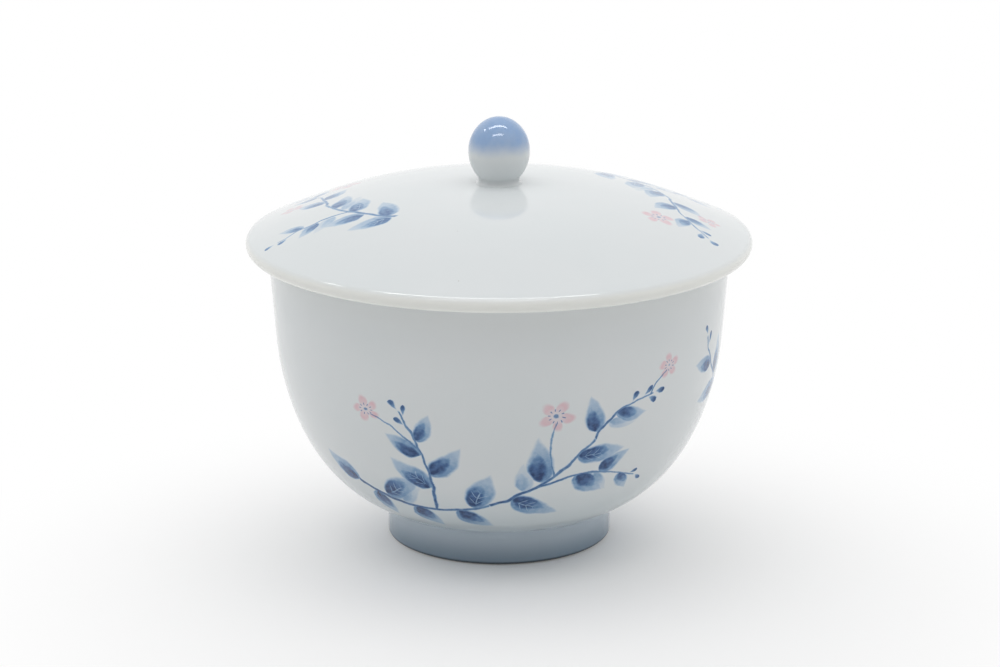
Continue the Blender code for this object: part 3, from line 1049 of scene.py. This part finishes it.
def seen_rays(graph):
    """Return 1 for the rays that see the background: straight on, in gloss or through glass."""
    rays = graph.node("ShaderNodeLightPath").outputs
    seen = graph.math("MAXIMUM", rays["Is Camera Ray"], rays["Is Glossy Ray"])
    return graph.math("MAXIMUM", seen, rays["Is Transmission Ray"])


def white_floor():
    """Make the floor: white paper that keeps the bowl's shadow and fades into the background."""
    bm = bmesh.new()
    bmesh.ops.create_grid(bm, x_segments=1, y_segments=1, size=FLOOR_REACH)
    mesh = bpy.data.meshes.new("floor")
    bm.to_mesh(mesh)
    bm.free()
    material = bpy.data.materials.new("floor_paper")
    material.use_nodes = True
    graph = Graph(material.node_tree)
    nodes = material.node_tree.nodes
    paper = nodes["Principled BSDF"]
    paper.inputs["Base Color"].default_value = (*FLOOR_COLOUR, 1)
    paper.inputs["Roughness"].default_value = PAPER_ROUGHNESS
    paper.inputs["Specular IOR Level"].default_value = 0.0
    away = graph.length(graph.vector("SUBTRACT", graph.here(), SHADE_CENTRE))
    far = graph.math("MULTIPLY", graph.ease(away, *SHADE_REACH), seen_rays(graph))
    glow = graph.node("ShaderNodeEmission", {"Color": (1, 1, 1, 1), "Strength": 1.0})
    mix = graph.node("ShaderNodeMixShader", {0: far, 1: paper.outputs[0], 2: glow.outputs[0]})
    graph.feed(nodes["Material Output"].inputs["Surface"], mix.outputs[0])
    mesh.materials.append(material)
    floor = bpy.data.objects.new("floor", mesh)
    floor.location.z = -FLOOR_DROP
    bpy.context.collection.objects.link(floor)
    return floor


def ring(graph, backwards, levels):
    """Return the brightness of one ring of the surround, from the front round to the back."""
    front, side, back = levels
    nearer = graph.ease(backwards, *FRONT_TO_SIDE, front, side)
    return graph.math("ADD", nearer, graph.ease(backwards, *SIDE_TO_BACK, 0.0, back - side))


def studio():
    """Light the object by a surround that is dark at the camera and bright above and behind."""
    world = bpy.data.worlds.new("studio")
    bpy.context.scene.world = world
    world.use_nodes = True
    graph = Graph(world.node_tree)
    background = world.node_tree.nodes["Background"]
    way = graph.node("ShaderNodeTexCoord").outputs["Generated"]
    parts = graph.parts(way)
    backwards = graph.math("DIVIDE", parts["Y"], graph.from_axis(parts))
    high = graph.ease(parts["Z"], *LOW_TO_HIGH)
    level = graph.mixed(high, ring(graph, backwards, LOW_LEVELS), ring(graph, backwards, HIGH_LEVELS))
    above = graph.dot(way, (0, -math.sin(TOP_TILT), math.cos(TOP_TILT)))
    level = graph.mixed(graph.ease(above, *HIGH_TO_TOP), level, TOP_LEVEL)
    graph.feed(background.inputs["Strength"], graph.mixed(seen_rays(graph), level, 1.0))
    background.inputs["Color"].default_value = (1, 1, 1, 1)


def lamp(name, place, size, power):
    """Hang a lamp that faces the bowl and shows only in its gloss."""
    data = bpy.data.lights.new(name, "AREA")
    data.shape = "RECTANGLE"
    data.size, data.size_y = size
    data.energy = power
    hung = bpy.data.objects.new(name, data)
    hung.location = place
    aim = VIEW_TARGET - hung.location
    hung.rotation_euler = (math.atan2(aim.y, -aim.z), -math.atan2(aim.x, -aim.z), 0)
    hung.visible_camera = False
    hung.visible_diffuse = False
    bpy.context.collection.objects.link(hung)


def view_camera():
    """Set the camera at the photograph's viewing angle."""
    data = bpy.data.cameras.new("camera")
    data.sensor_fit = "HORIZONTAL"
    data.sensor_width = SENSOR_WIDTH
    data.lens = VIEW_LENS
    data.clip_start = CLIP_START
    camera = bpy.data.objects.new("camera", data)
    back = Vector((0, -math.cos(VIEW_ELEVATION), math.sin(VIEW_ELEVATION)))
    camera.location = VIEW_TARGET + VIEW_DISTANCE * back
    camera.rotation_euler = (math.pi / 2 - VIEW_ELEVATION, 0, 0)
    bpy.context.collection.objects.link(camera)
    bpy.context.scene.camera = camera


white_floor()
studio()
for lamp_name, (lamp_place, lamp_size, lamp_power) in LAMPS.items():
    lamp(lamp_name, lamp_place, lamp_size, lamp_power)
view_camera()
bpy.context.scene.view_settings.view_transform = "Standard"
